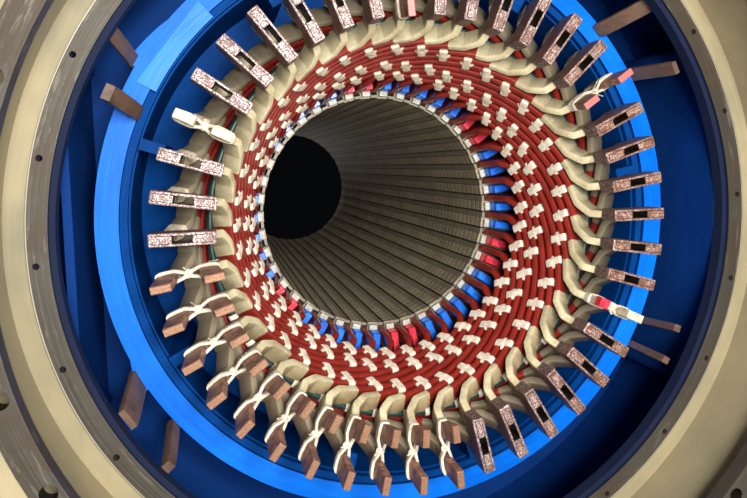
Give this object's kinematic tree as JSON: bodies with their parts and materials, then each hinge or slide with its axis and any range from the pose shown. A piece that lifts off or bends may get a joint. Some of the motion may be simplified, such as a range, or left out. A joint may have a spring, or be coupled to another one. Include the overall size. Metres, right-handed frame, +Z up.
{
  "type": "wound generator stator",
  "caption": "Horizontal two-pole generator stator: slotted core, basket end windings with clipped bar ends, blue core frame and a cylindrical footed casing.",
  "frame": {"origin": "on the floor under the middle of the machine", "axes": "+Z up, Y along the machine axis with the pictured end towards -Y, +X to the right of someone facing that end"},
  "size_m": [2.64, 4.842, 2.7198],
  "materials": {
    "casing_paint": "satin cream paint",
    "machined_steel": "machined, lightly oiled and stained",
    "navy_paint": "gloss navy paint",
    "blue_paint": "gloss bright blue paint",
    "core_laminations": "varnished laminations",
    "finger_steel": "matt grey-white",
    "wedge_laminate": "glass laminate",
    "red_insulation": "red finishing varnish on tape",
    "bare_copper": "brazed and oxidised copper",
    "green_insulation": "dark green insulating tape",
    "spacer_blocks": "blue insulating laminate"
  },
  "bodies": {
    "root": {"casing_top": "casing_paint", "casing_left": "casing_paint", "casing_right": "casing_paint", "casing_bottom": "casing_paint", "front_end_plate": "casing_paint", "rear_end_plate": "casing_paint", "bulkheads": "casing_paint", "recess_walls": "casing_paint", "front_seat_ring": "machined_steel", "rear_seat_ring": "machined_steel", "front_rim_ring": "machined_steel", "rear_rim_ring": "machined_steel", "front_web": "navy_paint", "middle_web": "navy_paint", "rear_web": "navy_paint", "stringers": "navy_paint", "barrel_bands": "casing_paint", "left_foot": "casing_paint", "right_foot": "casing_paint", "core_shell": "blue_paint", "front_shell_flange": "blue_paint", "rear_shell_flange": "blue_paint", "front_brackets": "blue_paint", "rear_brackets": "blue_paint", "stator_core": "core_laminations", "front_press_plate": "blue_paint", "rear_press_plate": "blue_paint", "front_tooth_fingers": "finger_steel", "rear_tooth_fingers": "finger_steel", "slot_wedges": "wedge_laminate", "upper_slot_bars": "red_insulation", "lower_slot_bars": "red_insulation", "front_upper_bars": "red_insulation", "front_lower_bars": "red_insulation", "rear_upper_bars": "red_insulation", "rear_lower_bars": "red_insulation", "front_bar_ends": "bare_copper", "rear_bar_ends": "bare_copper", "front_clips": "bare_copper", "rear_clips": "bare_copper", "front_support_ring": "green_insulation", "rear_support_ring": "green_insulation", "front_spacers": "spacer_blocks", "rear_spacers": "spacer_blocks", "phase_leads": "bare_copper"}
  },
  "joints": []
}
